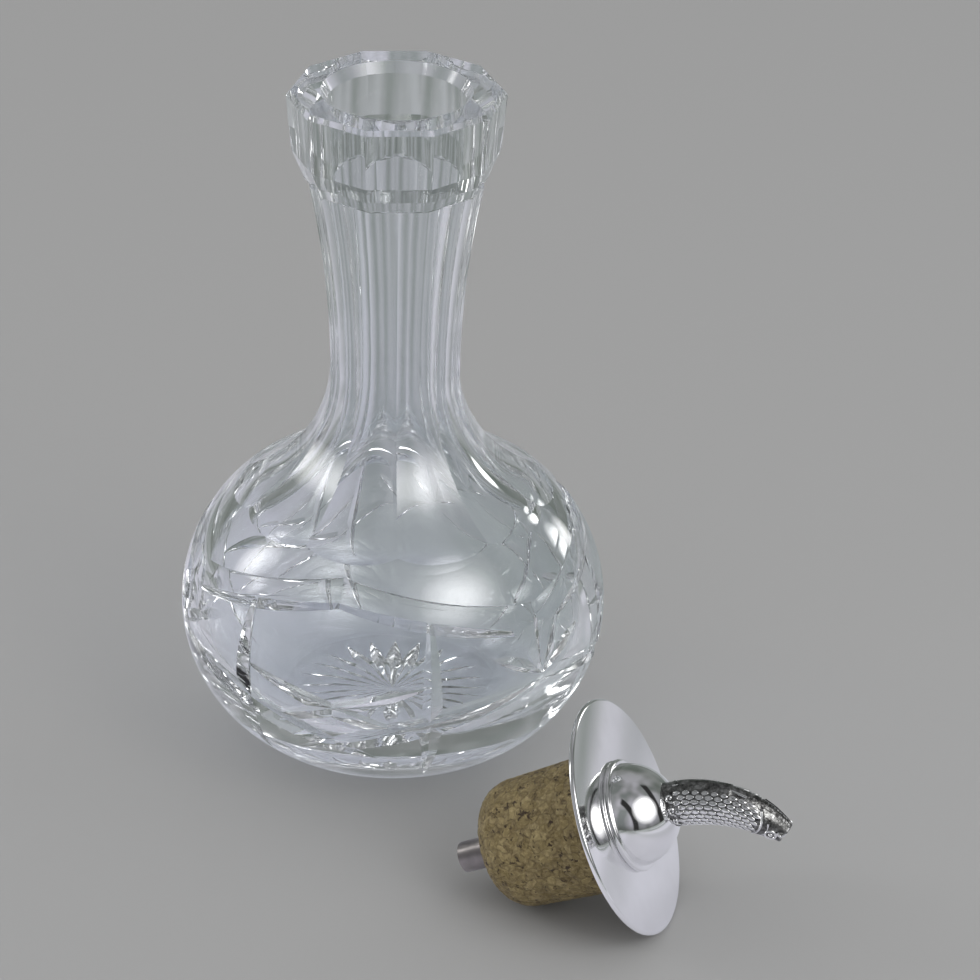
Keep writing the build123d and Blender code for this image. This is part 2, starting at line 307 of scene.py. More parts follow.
freshStart()
bpy.ops.mesh.primitive_cylinder_add(
    vertices=panels["count"], radius=glass["collarFootRadius"], depth=0.0002,
    location=(0, 0, glass["collarFootHeight"] - 0.0001),
)
collar = bpy.context.object
collar.name = "collar"
collar.rotation_euler = (0, 0, math.radians(panels["turn"]))
applyPlace(collar)
editAll(collar)
bpy.ops.mesh.select_all(action="DESELECT")
bpy.ops.object.mode_set(mode="OBJECT")
for face in collar.data.polygons:
    face.select = face.normal.z > 0.9
bpy.ops.object.mode_set(mode="EDIT")
rise = [
    (glass["collarEdgeHeight"], glass["collarEdgeRadius"]),
    (glass["height"] - glass["rimBevel"], glass["rimRadius"] - 0.00008),
    (glass["height"], glass["rimRadius"] - glass["rimBevel"]),
]
height, radius = glass["collarFootHeight"], glass["collarFootRadius"]
for nextHeight, nextRadius in rise:
    bpy.ops.mesh.extrude_region_move(TRANSFORM_OT_translate={"value": (0, 0, nextHeight - height)})
    bpy.ops.transform.resize(
        value=(nextRadius / radius, nextRadius / radius, 1), center_override=(0, 0, nextHeight)
    )
    height, radius = nextHeight, nextRadius
bpy.ops.object.mode_set(mode="OBJECT")
closeUp(collar)
cutWith(decanter, collar, "UNION")
print("collar done:", len(decanter.data.polygons), "faces")


# ---- inside of the decanter

hollow = vesselOutline(
    glass["globeRadius"] - glass["bellyWall"], glass["floorRadius"], glass["floorThickness"],
    glass["shoulderCurve"] - glass["bellyWall"], glass["boreRadius"],
    glass["mouthRadius"], glass["mouthFootHeight"],
)
hollow = [(0, glass["floorThickness"])] + hollow + [
    (glass["mouthRadius"], glass["mouthFlareHeight"]),
    (glass["mouthRimRadius"], glass["height"]),
    (glass["mouthRimRadius"] + 0.0002, glass["height"] + 0.001),
    (0, glass["height"] + 0.001),
]
cutWith(decanter, lathe("inside", hollow, glass["steps"]))

# loose chips where cuts cross fall away
only(decanter)
bpy.ops.object.mode_set(mode="EDIT")
bpy.ops.mesh.separate(type="LOOSE")
bpy.ops.object.mode_set(mode="OBJECT")
chips = sorted(bpy.context.selected_objects, key=lambda part: len(part.data.polygons))
decanter = chips.pop()
for chip in chips:
    bpy.data.objects.remove(chip, do_unlink=True)
decanter.name = "decanter_glass"
smooth(decanter, 8)
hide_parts("decanter_body")
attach(decanter, "decanter")
print("decanter done:", len(decanter.data.polygons), "faces,", len(chips), "chips")


# ---- where the stopper lies: on the edge of its disc and the round end of its cork

stopper = {
    "x": 0.0452, "y": -0.0703, "heading": -13.8,
    "corkLength": 0.027, "corkTop": 0.0136, "corkEnd": 0.0121, "corkRound": 0.0066,
    "tubeRadius": 0.003, "tubeBore": 0.0019, "tubeReach": 0.0068,
    "discRadius": 0.0228, "discThickness": 0.0011, "discRound": 0.0005,
    "stepRadius": 0.0108, "stepHeight": 0.0013,
    "domeRadius": 0.0099, "domeHeight": 0.0088, "domeWall": 0.0012,
}
corkTaper = math.atan2(stopper["corkTop"] - stopper["corkEnd"], stopper["corkLength"])
roundHeight = stopper["corkRound"] - stopper["corkLength"]
roundSide = stopper["corkTop"] + roundHeight * math.tan(corkTaper)
roundPlace = roundSide - stopper["corkRound"] / math.cos(corkTaper)
edgePlace = stopper["discRadius"] - stopper["discRound"]
spanUp, spanOut = stopper["discRound"] - roundHeight, edgePlace - roundPlace
lean = math.atan2(spanOut, spanUp) - math.asin(
    (stopper["corkRound"] - stopper["discRound"]) / math.hypot(spanOut, spanUp)
)
restHeight = edgePlace * math.cos(lean) + stopper["discRound"] * (1 - math.sin(lean))
heading = math.radians(stopper["heading"])
headingX, headingY = math.cos(heading), math.sin(heading)
axisUp = Vector((headingX * math.cos(lean), headingY * math.cos(lean), math.sin(lean)))
axisDown = Vector((headingX * math.sin(lean), headingY * math.sin(lean), -math.cos(lean)))
stopperPlace = Matrix.Translation((stopper["x"], stopper["y"], restHeight)) @ Matrix(
    (axisDown, axisUp.cross(axisDown), axisUp)
).transposed().to_4x4()


def layDown(piece, node):
    piece.matrix_world = stopperPlace
    applyPlace(piece)
    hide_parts(node)
    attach(piece, "stopper")


# ---- cork: tapered, its end rounded, pitted between the granules

corkLook = {"granule": 0.0013, "pitDepth": 0.00022, "steps": 200, "sideStep": 0.0005, "sideRings": 41}
side = []  # rings close together, so that the pits can be dented in
for ringNumber in range(corkLook["sideRings"]):
    down = ringNumber * corkLook["sideStep"]
    side.append((stopper["corkTop"] - down * math.tan(corkTaper), -down))
taperTurn = math.degrees(corkTaper)
corkOutline = [(stopper["tubeRadius"], 0)] + [(0.004 + i * 0.0008, 0) for i in range(12)] + side
corkOutline += arcPoints((roundPlace, roundHeight), stopper["corkRound"], -taperTurn, -90, 5)
corkOutline += [(0.0052 - i * 0.0004, -stopper["corkLength"]) for i in range(1, 6)]
corkOutline += [(stopper["tubeRadius"], -stopper["corkLength"]), (stopper["tubeRadius"], 0)]
cork = lathe("cork_body", corkOutline, corkLook["steps"])
only(cork)
pits = bpy.data.textures.new("corkPits", "VORONOI")
pits.noise_scale = corkLook["granule"]
pits.weight_1, pits.weight_2 = -1, 1
pits.noise_intensity = 1.6
dents = cork.modifiers.new("pits", "DISPLACE")
dents.texture = pits
dents.texture_coords = "LOCAL"
dents.mid_level = 0.75
dents.strength = corkLook["pitDepth"]
bpy.ops.object.modifier_apply(modifier="pits")
bpy.ops.object.shade_smooth()
layDown(cork, "cork")
print("cork done:", len(cork.data.polygons), "faces")


# ---- pour tube: drawn ring with a broken edge

tubeEnd = -stopper["corkLength"] - stopper["tubeReach"]
domeFoot = stopper["discThickness"] + stopper["stepHeight"]
domeTop = domeFoot + stopper["domeHeight"]
domeCurve = (stopper["domeRadius"] ** 2 + stopper["domeHeight"] ** 2) / (2 * stopper["domeHeight"])
domeCentre = domeTop - domeCurve
tubeTop = domeCentre + math.sqrt(domeCurve**2 - stopper["tubeRadius"] ** 2)
bore, outer, edge = stopper["tubeBore"], stopper["tubeRadius"], 0.0003
tubeOutline = [
    (bore, tubeTop), (bore, tubeEnd + 0.0004), (bore + edge, tubeEnd), (outer - edge, tubeEnd),
    (outer - 0.00008, tubeEnd + 0.00008), (outer, tubeEnd + edge), (outer, tubeTop), (bore, tubeTop),
]
tube = lathe("pour_tube_drawn", tubeOutline, 96)
smooth(tube, 25)
layDown(tube, "pour_tube")


# ---- silver disc, step ring and dome

def roundedRim(radius, low, high, curve):
    outline = arcPoints((radius - curve, low + curve), curve, -90, 0, 15)
    return outline + arcPoints((radius - curve, high - curve), curve, 0, 90, 15)


discRim = roundedRim(stopper["discRadius"], 0, stopper["discThickness"], stopper["discRound"])
discOutline = [(stopper["tubeRadius"], 0)] + discRim + [
    (stopper["tubeRadius"], stopper["discThickness"]), (stopper["tubeRadius"], 0),
]
disc = lathe("flange_disc_polished", discOutline, 256)
smooth(disc, 30)
layDown(disc, "flange_disc")

ringInner = stopper["domeRadius"] - stopper["domeWall"]
ringRim = roundedRim(stopper["stepRadius"], stopper["discThickness"], domeFoot, 0.0005)
ringOutline = [(ringInner, stopper["discThickness"])] + ringRim + [
    (ringInner, domeFoot), (ringInner, stopper["discThickness"]),
]
ring = lathe("step_ring_polished", ringOutline, 192)
smooth(ring, 30)
layDown(ring, "step_ring")

domeLow = math.degrees(math.asin((domeFoot - domeCentre) / domeCurve))
domeHigh = math.degrees(math.acos(stopper["tubeRadius"] / domeCurve))
innerCurve = domeCurve - stopper["domeWall"]
innerLow = math.degrees(math.asin((domeFoot - domeCentre) / innerCurve))
innerHigh = math.degrees(math.acos(stopper["tubeRadius"] / innerCurve))
domeOutline = arcPoints((0, domeCentre), domeCurve, domeLow, domeHigh, 3)
domeOutline += arcPoints((0, domeCentre), innerCurve, innerHigh, innerLow, 6) + domeOutline[:1]
dome = lathe("dome_raised", domeOutline, 192)
smooth(dome, 30)
layDown(dome, "dome")
print("silver mount done")


# ---- cast fish: body along an arc, scales, fin, gills, eyes, lips

# each section: share of the length, then half height and half width in millimetres
fish = {
    "curve": 0.0225, "turn": 60, "sink": 0.0016, "bore": 0.0013, "mouthLength": 0.0036, "gape": 24,
    "sections": ((0.0, 4.6, 3.9), (0.2, 4.7, 4.1), (0.5, 4.3, 3.9), (0.78, 3.5, 3.4), (1.0, 2.3, 2.4)),
    "skin": 0.00038, "rings": 90, "sides": 96,
    "scaleRows": 9, "scaleFirst": 38, "scaleLast": 143, "scaleStart": 0.12,
    "scaleLength": 0.0016, "scaleHeight": 0.0006, "scaleOverlap": 1.2, "scaleFill": 0.77, "scaleLift": 0.42,
    "gillShare": 0.745, "scalesShort": 0.045, "finStart": 0.42,
    "eyeShare": 0.90, "eyeAround": 72, "eyeRadius": 0.00105, "eyeRing": 0.00026, "eyeBall": 0.0005,
}


def fishSize(share):
    # half height and half width of the fish at a share of its length, rounded between the sections
    sections = fish["sections"]
    for low, high in zip(sections, sections[1:]):
        if share <= high[0]:
            break
    t = (share - low[0]) / (high[0] - low[0])
    index = sections.index(low)
    before = sections[max(index - 1, 0)]
    after = sections[min(index + 2, len(sections) - 1)]
    sizes = []
    for axis in (1, 2):
        startSlope = (high[axis] - before[axis]) / (high[0] - before[0]) * (high[0] - low[0])
        endSlope = (after[axis] - low[axis]) / (after[0] - low[0]) * (high[0] - low[0])
        sizes.append(
            (2 * t**3 - 3 * t**2 + 1) * low[axis] + (t**3 - 2 * t**2 + t) * startSlope
            + (3 * t**2 - 2 * t**3) * high[axis] + (t**3 - t**2) * endSlope
        )
    return sizes[0] / 1000, sizes[1] / 1000


def fishMiddle(share):
    # the fish's middle line at a share of its length, with the ways across it and along it
    turn = math.radians(fish["turn"] * share)
    height = domeTop - fish["sink"] + fish["curve"] * math.sin(turn)
    middle = Vector((fish["curve"] * (1 - math.cos(turn)), 0, height))
    across = Vector((math.cos(turn), 0, -math.sin(turn)))
    return middle, across, Vector((math.sin(turn), 0, math.cos(turn)))


def gillPlace(middle, around):
    # the gill cover's edge bows forward half way up the side
    return middle + 0.05 * math.cos(math.radians(around - 80) * 1.4)


def fishPoint(share, around, sink=0.0):
    # around is 0 at the belly, 180 at the back, negative on the side that faces the front
    middle, across = fishMiddle(share)[:2]
    halfHeight, halfWidth = fishSize(share)
    angle = math.radians(around)
    sideways = Vector((0, 1, 0)) * (halfWidth - sink) * math.sin(angle)
    return middle + across * (halfHeight - sink) * math.cos(angle) + sideways


def fishFrame(share, around, sink=0.0):
    # a place on the skin: x along the fish, y round it, z out of it
    place = fishPoint(share, around, sink)
    before, after = fishPoint(share - 0.01, around, sink), fishPoint(min(share + 0.01, 1), around, sink)
    along = (after - before).normalized()
    girth = fishPoint(share, around + 1, sink) - fishPoint(share, around - 1, sink)
    out = along.cross(girth).normalized()
    if out.dot(place - fishPoint(share, around, sink + 0.001)) < 0:
        out = -out
    return Matrix.Translation(place) @ Matrix((along, out.cross(along), out)).transposed().to_4x4()


def bump(value, centre, width):
    return math.exp(-(((value - centre) / width) ** 2))


def skinSink(share, around):
    # how far the skin lies under the fish's full size
    side = abs(around)
    sink = fish["skin"]
    gill = gillPlace(fish["gillShare"], side)
    if side < 150:  # the gill cover stands up, with a groove at its edge
        sink -= 0.00022 / (1 + math.exp(-(share - gill) * 260))
        sink += 0.0002 * bump(share, gill - 0.012, 0.010)
    if share > fish["finStart"]:  # rays of the fin along the back
        ray = 0.5 + 0.5 * math.cos(share * 230)
        sink -= (0.00022 + 0.00013 * ray) * bump(side, 180, 16) * min(1, (share - fish["finStart"]) * 12)
    if share <= 0.5:  # smooth ridge of the back
        sink -= 0.0003 * bump(side, 180, 30)
    curls = math.sin(share * 95 + side * 0.09) * math.sin(side * 0.16)
    sink += 0.00012 * curls * bump(share, 0.02, 0.07)
    return max(sink, 0.00002)


def fishTube(name, rings, sides, shareStart, shareEnd):
    freshStart()
    bpy.ops.mesh.primitive_circle_add(
        vertices=sides, radius=1, fill_type="NGON", location=(0, 0, shareStart)
    )
    tubeMesh = bpy.context.object
    tubeMesh.name = name
    applyPlace(tubeMesh)
    editAll(tubeMesh)
    for ringNumber in range(rings):
        bpy.ops.mesh.extrude_region_move(
            TRANSFORM_OT_translate={"value": (0, 0, (shareEnd - shareStart) / rings)}
        )
    bpy.ops.mesh.select_all(action="DESELECT")
    bpy.ops.mesh.select_non_manifold()
    bpy.ops.mesh.edge_face_add()
    bpy.ops.object.mode_set(mode="OBJECT")
    return tubeMesh


fishBody = fishTube("fish_cast", fish["rings"], fish["sides"], 0.0, 1.0)
for vertex in fishBody.data.vertices:
    share = vertex.co.z
    around = math.degrees(math.atan2(vertex.co.y, vertex.co.x))
    vertex.co = fishPoint(share, around, skinSink(share, around))
closeUp(fishBody)
bore = fishTube("fishBore", 24, 32, -0.02, 1.12)
for vertex in bore.data.vertices:
    middle, across = fishMiddle(vertex.co.z)[:2]
    sideways = Vector((0, 1, 0)) * fish["bore"] * vertex.co.y
    vertex.co = middle + across * fish["bore"] * vertex.co.x + sideways
closeUp(bore)
cutWith(fishBody, bore)
jaw = fishTube("jawCut", 1, 3, 0, 1)
jawShare = 1 - math.degrees(fish["mouthLength"] / fish["curve"]) / fish["turn"]
jawCorner, jawAcross, jawAlong = fishMiddle(jawShare)
jawReach = 2 * fish["mouthLength"]
jawHalf = jawReach * math.tan(math.radians(fish["gape"] / 2))
for vertex in jaw.data.vertices:
    corner = vertex.co.copy()
    sideways = Vector((0, (corner.z - 0.5) * 2 * jawReach, 0))
    if corner.y > 0.9 or (abs(corner.x) < 0.1 and corner.y > 0):
        vertex.co = jawCorner + sideways
    else:
        lip = jawAcross * math.copysign(jawHalf, corner.x)
        vertex.co = jawCorner + sideways + jawAlong * jawReach + lip
closeUp(jaw)
cutWith(fishBody, jaw)
smooth(fishBody, 32)


def scatter(pattern, places):
    # a copy of the pattern at each place, each with its own mesh
    copies = []
    for place in places:
        copy = pattern.copy()
        copy.data = pattern.data.copy()
        bpy.context.collection.objects.link(copy)
        copy.matrix_world = place
        copies.append(copy)
    bpy.data.objects.remove(pattern, do_unlink=True)
    return copies


freshStart()
bpy.ops.mesh.primitive_uv_sphere_add(segments=12, ring_count=6, radius=0.5)
scale = bpy.context.object
scale.scale = (1, 1, 0.5)
applyPlace(scale)
editAll(scale)
bpy.ops.mesh.bisect(plane_co=(0, 0, -0.05), plane_no=(0, 0, 1), clear_inner=True)
bpy.ops.object.mode_set(mode="OBJECT")
# the free edge is high, the other end dives under the next scale
for vertex in scale.data.vertices:
    vertex.co.z += fish["scaleLift"] * vertex.co.x
    vertex.co.y *= 1.25 - 0.5 * abs(vertex.co.x)
places = []
pitch = fish["scaleLength"] / (fish["curve"] * math.radians(fish["turn"]))
rowTurn = (fish["scaleLast"] - fish["scaleFirst"]) / (fish["scaleRows"] - 1)
scaleReach = fish["scaleLength"] * fish["scaleOverlap"]
for side in (-1, 1):
    for row in range(fish["scaleRows"]):
        around = fish["scaleFirst"] + rowTurn * row
        share = fish["scaleStart"] + (row % 2) * pitch / 2
        gill = gillPlace(fish["gillShare"] - fish["scalesShort"], around)
        while share < gill:
            halfHeight, halfWidth = fishSize(share)
            rowWidth = math.radians(rowTurn) * halfHeight * fish["scaleFill"]
            size = Matrix.Diagonal((scaleReach, rowWidth, fish["scaleHeight"], 1))
            places.append(fishFrame(share, side * around, fish["skin"] + 0.00002) @ size)
            share += pitch
scales = scatter(scale, places)
print("scales:", len(scales))
for piece in scales:
    applyPlace(piece)

eyeRings = []
for side in (-1, 1):
    freshStart()
    bpy.ops.mesh.primitive_torus_add(
        major_radius=fish["eyeRadius"], minor_radius=fish["eyeRing"], major_segments=28, minor_segments=10
    )
    ringPiece = bpy.context.object
    eyePlace = (fish["eyeShare"], side * fish["eyeAround"])
    ringPiece.matrix_world = fishFrame(*eyePlace, fish["skin"] - 0.0001)
    applyPlace(ringPiece)
    eyeRings.append(ringPiece)
    freshStart()
    bpy.ops.mesh.primitive_uv_sphere_add(segments=16, ring_count=10, radius=fish["eyeBall"])
    ball = bpy.context.object
    ball.matrix_world = fishFrame(*eyePlace, fish["skin"] - 0.00005)
    applyPlace(ball)
    eyeRings.append(ball)


def ridge(points, thickness):
    # a rounded cord of metal through places on the skin, given as (share, around)
    freshStart()
    curve = bpy.data.curves.new("ridge", "CURVE")
    curve.dimensions = "3D"
    curve.bevel_depth = thickness
    curve.bevel_resolution = 3
    curve.use_fill_caps = True
    line = curve.splines.new("NURBS")
    line.points.add(len(points) - 1)
    for point, (share, around) in zip(line.points, points):
        point.co = (*fishPoint(share, around, fish["skin"] - thickness * 0.3), 1)
    line.order_u = 3
    line.use_endpoint_u = True
    cord = bpy.data.objects.new("ridge", curve)
    bpy.context.collection.objects.link(cord)
    only(cord)
    bpy.ops.object.convert(target="MESH")
    return bpy.context.object


# cords along the back, round the gill cover, behind it, and round the mouth
cords = (
    (((0.10, 168), (0.25, 172), (0.45, 172), (0.62, 160)), 0.00029),
    (((0.76, 28), (0.79, 50), (0.80, 85), (0.78, 118), (0.75, 138)), 0.00029),
    (((0.83, 36), (0.855, 60), (0.86, 88), (0.835, 112)), 0.00026),
    (((0.985, 150), (0.995, 110), (0.97, 80), (0.93, 96)), 0.00028),
)
ridges = []
for side in (-1, 1):
    for line, thickness in cords:
        ridges.append(ridge([(share, side * around) for share, around in line], thickness))
    for curl in range(3):
        start = 50 + curl * 34
        ridges.append(ridge([
            (0.10, side * start), (0.055, side * (start + 4)), (0.05, side * (start + 18)),
            (0.08, side * (start + 22)), (0.09, side * (start + 13)), (0.074, side * (start + 11)),
        ], 0.00022))


def joined(pieces, name):
    only(pieces[0])
    for piece in pieces:
        piece.select_set(True)
    bpy.ops.object.join()
    pieces[0].name = name
    return pieces[0]


bright = joined(scales + eyeRings + ridges, "fish_relief")
only(bright)
bpy.ops.object.shade_smooth()
print("fish done:", len(fishBody.data.polygons), "+", len(bright.data.polygons), "faces")


# ---- materials

def newMaterial(name):
    material = bpy.data.materials.new(name)
    material.use_nodes = True
    shader = material.node_tree.nodes["Principled BSDF"]
    return material, material.node_tree, shader


def node(tree, kind, **settings):
    made = tree.nodes.new(kind)
    for setting, value in settings.items():
        setattr(made, setting, value)
    return made


def link(tree, source, target):
    tree.links.new(source, target)


def ramp(tree, source, stops):
    made = node(tree, "ShaderNodeValToRGB")
    bands = made.color_ramp.elements
    while len(bands) < len(stops):
        bands.new(0.5)
    for band, (place, colour) in zip(bands, stops):
        band.position = place
        band.color = (*colour, 1) if isinstance(colour, tuple) else (colour, colour, colour, 1)
    link(tree, source, made.inputs[0])
    return made.outputs["Color"]


def math2(tree, operation, first, second):
    made = node(tree, "ShaderNodeMath", operation=operation)
    for socket, value in zip(made.inputs, (first, second)):
        if isinstance(value, (int, float)):
            socket.default_value = value
        else:
            link(tree, value, socket)
    return made.outputs[0]


def noise(tree, place, scale, detail=3, roughness=0.55):
    made = node(tree, "ShaderNodeTexNoise")
    made.inputs["Scale"].default_value = scale
    made.inputs["Detail"].default_value = detail
    made.inputs["Roughness"].default_value = roughness
    link(tree, place, made.inputs["Vector"])
    return made.outputs["Fac"]


def blend(tree, factor, first, second, kind="MIX"):
    made = node(tree, "ShaderNodeMix", data_type="RGBA", blend_type=kind)
    sockets = (made.inputs[0], made.inputs[6], made.inputs[7])
    for socket, value in zip(sockets, (factor, first, second)):
        if isinstance(value, tuple):
            socket.default_value = (*value, 1)
        elif isinstance(value, (int, float)):
            socket.default_value = value
        else:
            link(tree, value, socket)
    return made.outputs[2]


def bumpFrom(tree, height, distance, strength=1.0):
    made = node(tree, "ShaderNodeBump")
    made.inputs["Strength"].default_value = strength
    made.inputs["Distance"].default_value = distance
    link(tree, height, made.inputs["Height"])
    return made.outputs["Normal"]


def makeGroup(name, inputs, outputs):
    group = bpy.data.node_groups.new(name, "ShaderNodeTree")
    for label, value in inputs:
        socket = group.interface.new_socket(name=label, in_out="INPUT", socket_type="NodeSocketFloat")
        socket.default_value = value
    for label, kind in outputs:
        group.interface.new_socket(name=label, in_out="OUTPUT", socket_type=kind)
    return group, group.nodes.new("NodeGroupInput"), group.nodes.new("NodeGroupOutput")


# handling wear: soft smears, and hair-fine scratches on the metal
wear, wearIn, wearOut = makeGroup(
    "handlingWear",
    [("Smooth", 0.05), ("Smeared", 0.14), ("Scratch Depth", 0.000002)],
    [("Roughness", "NodeSocketFloat"), ("Normal", "NodeSocketVector"), ("Smear", "NodeSocketFloat")],
)
place = node(wear, "ShaderNodeTexCoord").outputs["Object"]
smear = noise(wear, place, 95, 4)
smearRange = node(wear, "ShaderNodeMapRange")
smearRange.inputs["From Min"].default_value = 0.4
smearRange.inputs["From Max"].default_value = 0.7
link(wear, smear, smearRange.inputs["Value"])
roughRange = node(wear, "ShaderNodeMapRange")
link(wear, smearRange.outputs[0], roughRange.inputs["Value"])
link(wear, wearIn.outputs["Smooth"], roughRange.inputs["To Min"])
link(wear, wearIn.outputs["Smeared"], roughRange.inputs["To Max"])
hairs = []
for turn in ((0.3, 0.2, 0.9), (1.1, 0.7, 2.2)):
    grain = node(wear, "ShaderNodeMapping")
    grain.inputs["Rotation"].default_value = turn
    grain.inputs["Scale"].default_value = (60, 2600, 2600)
    link(wear, place, grain.inputs["Vector"])
    hairs.append(noise(wear, grain.outputs[0], 1, 2))
hair = math2(wear, "MAXIMUM", hairs[0], hairs[1])
hairBump = node(wear, "ShaderNodeBump")
link(wear, hair, hairBump.inputs["Height"])
link(wear, wearIn.outputs["Scratch Depth"], hairBump.inputs["Distance"])
link(wear, roughRange.outputs[0], wearOut.inputs["Roughness"])
link(wear, hairBump.outputs["Normal"], wearOut.inputs["Normal"])
link(wear, smearRange.outputs[0], wearOut.inputs["Smear"])


def addWear(tree, smoothest, smeared, scratch):
    made = node(tree, "ShaderNodeGroup", node_tree=wear)
    made.inputs["Smooth"].default_value = smoothest
    made.inputs["Smeared"].default_value = smeared
    made.inputs["Scratch Depth"].default_value = scratch
    return made


def crystal():
    # lead crystal: clear, a little cool, with the slight waves that cutting and polishing leave
    material, tree, shader = newMaterial("crystal")
    shader.inputs["IOR"].default_value = 1.545
    shader.inputs["Transmission Weight"].default_value = 1
    place = node(tree, "ShaderNodeTexCoord").outputs["Object"]
    tones = [(0.35, (0.895, 0.905, 0.93)), (0.65, (0.90, 0.92, 0.915))]
    tint = ramp(tree, noise(tree, place, 22, 2), tones)
    link(tree, tint, shader.inputs["Base Color"])
    polish = addWear(tree, 0.0, 0.012, 0.0)
    link(tree, polish.outputs["Roughness"], shader.inputs["Roughness"])
    waves = noise(tree, place, 130, 1)
    link(tree, bumpFrom(tree, waves, 0.00012, 0.35), shader.inputs["Normal"])
    clear = node(tree, "ShaderNodeBsdfTransparent")
    clear.inputs["Color"].default_value = (0.93, 0.94, 0.955, 1)
    path = node(tree, "ShaderNodeLightPath")
    mix = node(tree, "ShaderNodeMixShader")
    link(tree, path.outputs["Is Shadow Ray"], mix.inputs[0])
    link(tree, shader.outputs[0], mix.inputs[1])
    link(tree, clear.outputs[0], mix.inputs[2])
    link(tree, mix.outputs[0], tree.nodes["Material Output"].inputs["Surface"])
    return material


def silver(name, bright, dull, smoothest, smeared, scratch):
    material, tree, shader = newMaterial(name)
    shader.inputs["Metallic"].default_value = 1
    worn = addWear(tree, smoothest, smeared, scratch)
    link(tree, blend(tree, worn.outputs["Smear"], bright, dull), shader.inputs["Base Color"])
    link(tree, worn.outputs["Roughness"], shader.inputs["Roughness"])
    link(tree, worn.outputs["Normal"], shader.inputs["Normal"])
    return material


def oxidised():
    # dark tarnish left in the hollows of the casting, thinner where fingers reach it
    material, tree, shader = newMaterial("oxidisedSilver")
    shader.inputs["Metallic"].default_value = 1
    place = node(tree, "ShaderNodeTexCoord").outputs["Object"]
    thin = noise(tree, place, 900, 5, 0.65)
    tones = [(0.35, (0.05, 0.05, 0.049)), (0.55, (0.20, 0.20, 0.195)), (0.75, (0.5, 0.5, 0.5))]
    link(tree, ramp(tree, thin, tones), shader.inputs["Base Color"])
    worn = addWear(tree, 0.2, 0.4, 0.000004)
    link(tree, worn.outputs["Roughness"], shader.inputs["Roughness"])
    link(tree, bumpFrom(tree, noise(tree, place, 1800, 3), 0.00012, 0.7), shader.inputs["Normal"])
    return material


def corkGranules():
    # pressed cork: pale and brown granules, dark seams between them, a few dark pores
    material, tree, shader = newMaterial("corkGranules")
    place = node(tree, "ShaderNodeTexCoord").outputs["Object"]
    warpNoise = node(tree, "ShaderNodeTexNoise")
    warpNoise.inputs["Scale"].default_value = 650
    warpNoise.inputs["Detail"].default_value = 2
    link(tree, place, warpNoise.inputs["Vector"])
    centred = node(tree, "ShaderNodeVectorMath", operation="SUBTRACT")
    centred.inputs[1].default_value = (0.5, 0.5, 0.5)
    link(tree, warpNoise.outputs["Color"], centred.inputs[0])
    pushed = node(tree, "ShaderNodeVectorMath", operation="MULTIPLY_ADD")
    pushed.inputs[1].default_value = (0.0016, 0.0016, 0.0016)
    link(tree, centred.outputs[0], pushed.inputs[0])
    link(tree, place, pushed.inputs[2])
    cells = node(tree, "ShaderNodeTexVoronoi")
    cells.inputs["Scale"].default_value = 620
    link(tree, pushed.outputs[0], cells.inputs["Vector"])
    seams = node(tree, "ShaderNodeTexVoronoi", feature="DISTANCE_TO_EDGE")
    seams.inputs["Scale"].default_value = 620
    link(tree, pushed.outputs[0], seams.inputs["Vector"])
    pick = node(tree, "ShaderNodeSeparateColor")
    link(tree, cells.outputs["Color"], pick.inputs[0])
    granule = ramp(tree, pick.outputs[0], [
        (0.0, (0.125, 0.090, 0.035)), (0.4, (0.180, 0.137, 0.056)), (0.75, (0.240, 0.186, 0.082)),
        (1.0, (0.34, 0.275, 0.135)),
    ])
    veins = noise(tree, pushed.outputs[0], 1500, 5, 0.6)
    tones = [(0.36, (0.115, 0.080, 0.032)), (0.50, (0.21, 0.160, 0.068)), (0.66, (0.37, 0.295, 0.15))]
    soft = ramp(tree, veins, tones)
    mottled = blend(tree, 0.5, granule, soft)
    seamMask = ramp(tree, seams.outputs["Distance"], [(0.0, 1.0), (0.13, 0.0)])
    seamTone = ramp(tree, noise(tree, place, 500, 2), [(0.40, 0.0), (0.68, 0.75)])
    seamMask = blend(tree, 1.0, seamMask, seamTone, "MULTIPLY")
    seamed = blend(tree, seamMask, mottled, (0.06, 0.036, 0.014))
    longPlace = node(tree, "ShaderNodeMapping")
    longPlace.inputs["Rotation"].default_value = (0.4, 0.9, 0.3)
    longPlace.inputs["Scale"].default_value = (1, 0.55, 1)
    link(tree, pushed.outputs[0], longPlace.inputs["Vector"])
    specks = noise(tree, longPlace.outputs[0], 900, 3, 0.6)
    poreMask = ramp(tree, specks, [(0.60, 0.0), (0.66, 1.0)])
    link(tree, blend(tree, poreMask, seamed, (0.045, 0.026, 0.011)), shader.inputs["Base Color"])
    rounded = math2(tree, "MINIMUM", seams.outputs["Distance"], 0.14)
    height = math2(tree, "SUBTRACT", rounded, math2(tree, "MULTIPLY", poreMask, 0.2))
    link(tree, bumpFrom(tree, height, 0.0009, 0.8), shader.inputs["Normal"])
    link(tree, ramp(tree, pick.outputs[1], [(0.0, 0.62), (1.0, 0.85)]), shader.inputs["Roughness"])
    return material


def paint(piece, material):
    piece.data.materials.clear()
    piece.data.materials.append(material)


paint(decanter, crystal())
paint(tube, silver("drawnTube", (0.30, 0.28, 0.27), (0.16, 0.145, 0.145), 0.3, 0.5, 0.000006))
polished = silver("polishedSilver", (0.90, 0.90, 0.905), (0.84, 0.84, 0.845), 0.045, 0.11, 0.0000012)
for piece in (disc, ring, dome):
    paint(piece, polished)
paint(fishBody, oxidised())
paint(bright, silver("castSilver", (0.86, 0.86, 0.86), (0.6, 0.6, 0.6), 0.12, 0.3, 0.000004))
paint(cork, corkGranules())
layDown(bright, "fish_spout")
layDown(fishBody, "fish_spout")
print("materials done")


# ---- camera

